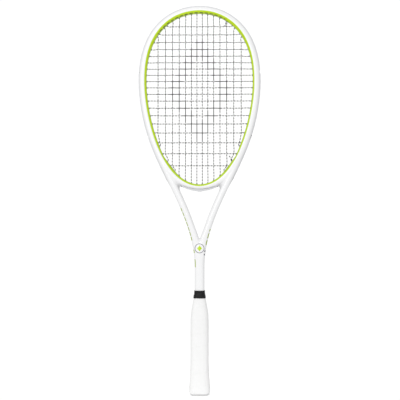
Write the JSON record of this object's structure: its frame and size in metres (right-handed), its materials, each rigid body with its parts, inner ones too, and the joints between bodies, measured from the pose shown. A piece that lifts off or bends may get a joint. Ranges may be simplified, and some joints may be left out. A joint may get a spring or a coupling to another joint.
{
  "type": "squash racket",
  "caption": "Squash racket with a teardrop head, split throat with a bridge, round shaft, woven one-piece string and a wrapped handle flared at the butt.",
  "frame": {"origin": "middle of the butt cap's end face", "axes": "+Z from the butt to the head, +X across the head, +Y away from the front face, which looks along -Y"},
  "size_m": [0.215, 0.0336, 0.685],
  "materials": {
    "frame_paint": "clear-coated white paint on moulded carbon, lime inside the head",
    "strip_plastic": "satin moulded nylon",
    "string": "translucent white multifilament with dark flecks",
    "pallet_foam": "rigid moulded polyurethane foam",
    "cap_plastic": "satin moulded plastic",
    "staple_steel": "bright steel wire",
    "grip_cover": "soft white synthetic leather, spiral wrapped",
    "tape_black": "stretched black finishing tape"
  },
  "bodies": {
    "root": {"frame": "frame_paint", "throat_bridge": "frame_paint", "bumper_strip": "strip_plastic", "side_strip_left": "strip_plastic", "side_strip_right": "strip_plastic", "yoke_strip_left": "strip_plastic", "yoke_strip_right": "strip_plastic", "throat_strip": "strip_plastic", "string": "string", "pallet_front": "pallet_foam", "pallet_rear": "pallet_foam", "butt_cap": "cap_plastic", "staple_left_low": "staple_steel", "staple_left_high": "staple_steel", "staple_right_low": "staple_steel", "staple_right_high": "staple_steel", "grip": "grip_cover", "finishing_tape": "tape_black"}
  },
  "joints": []
}
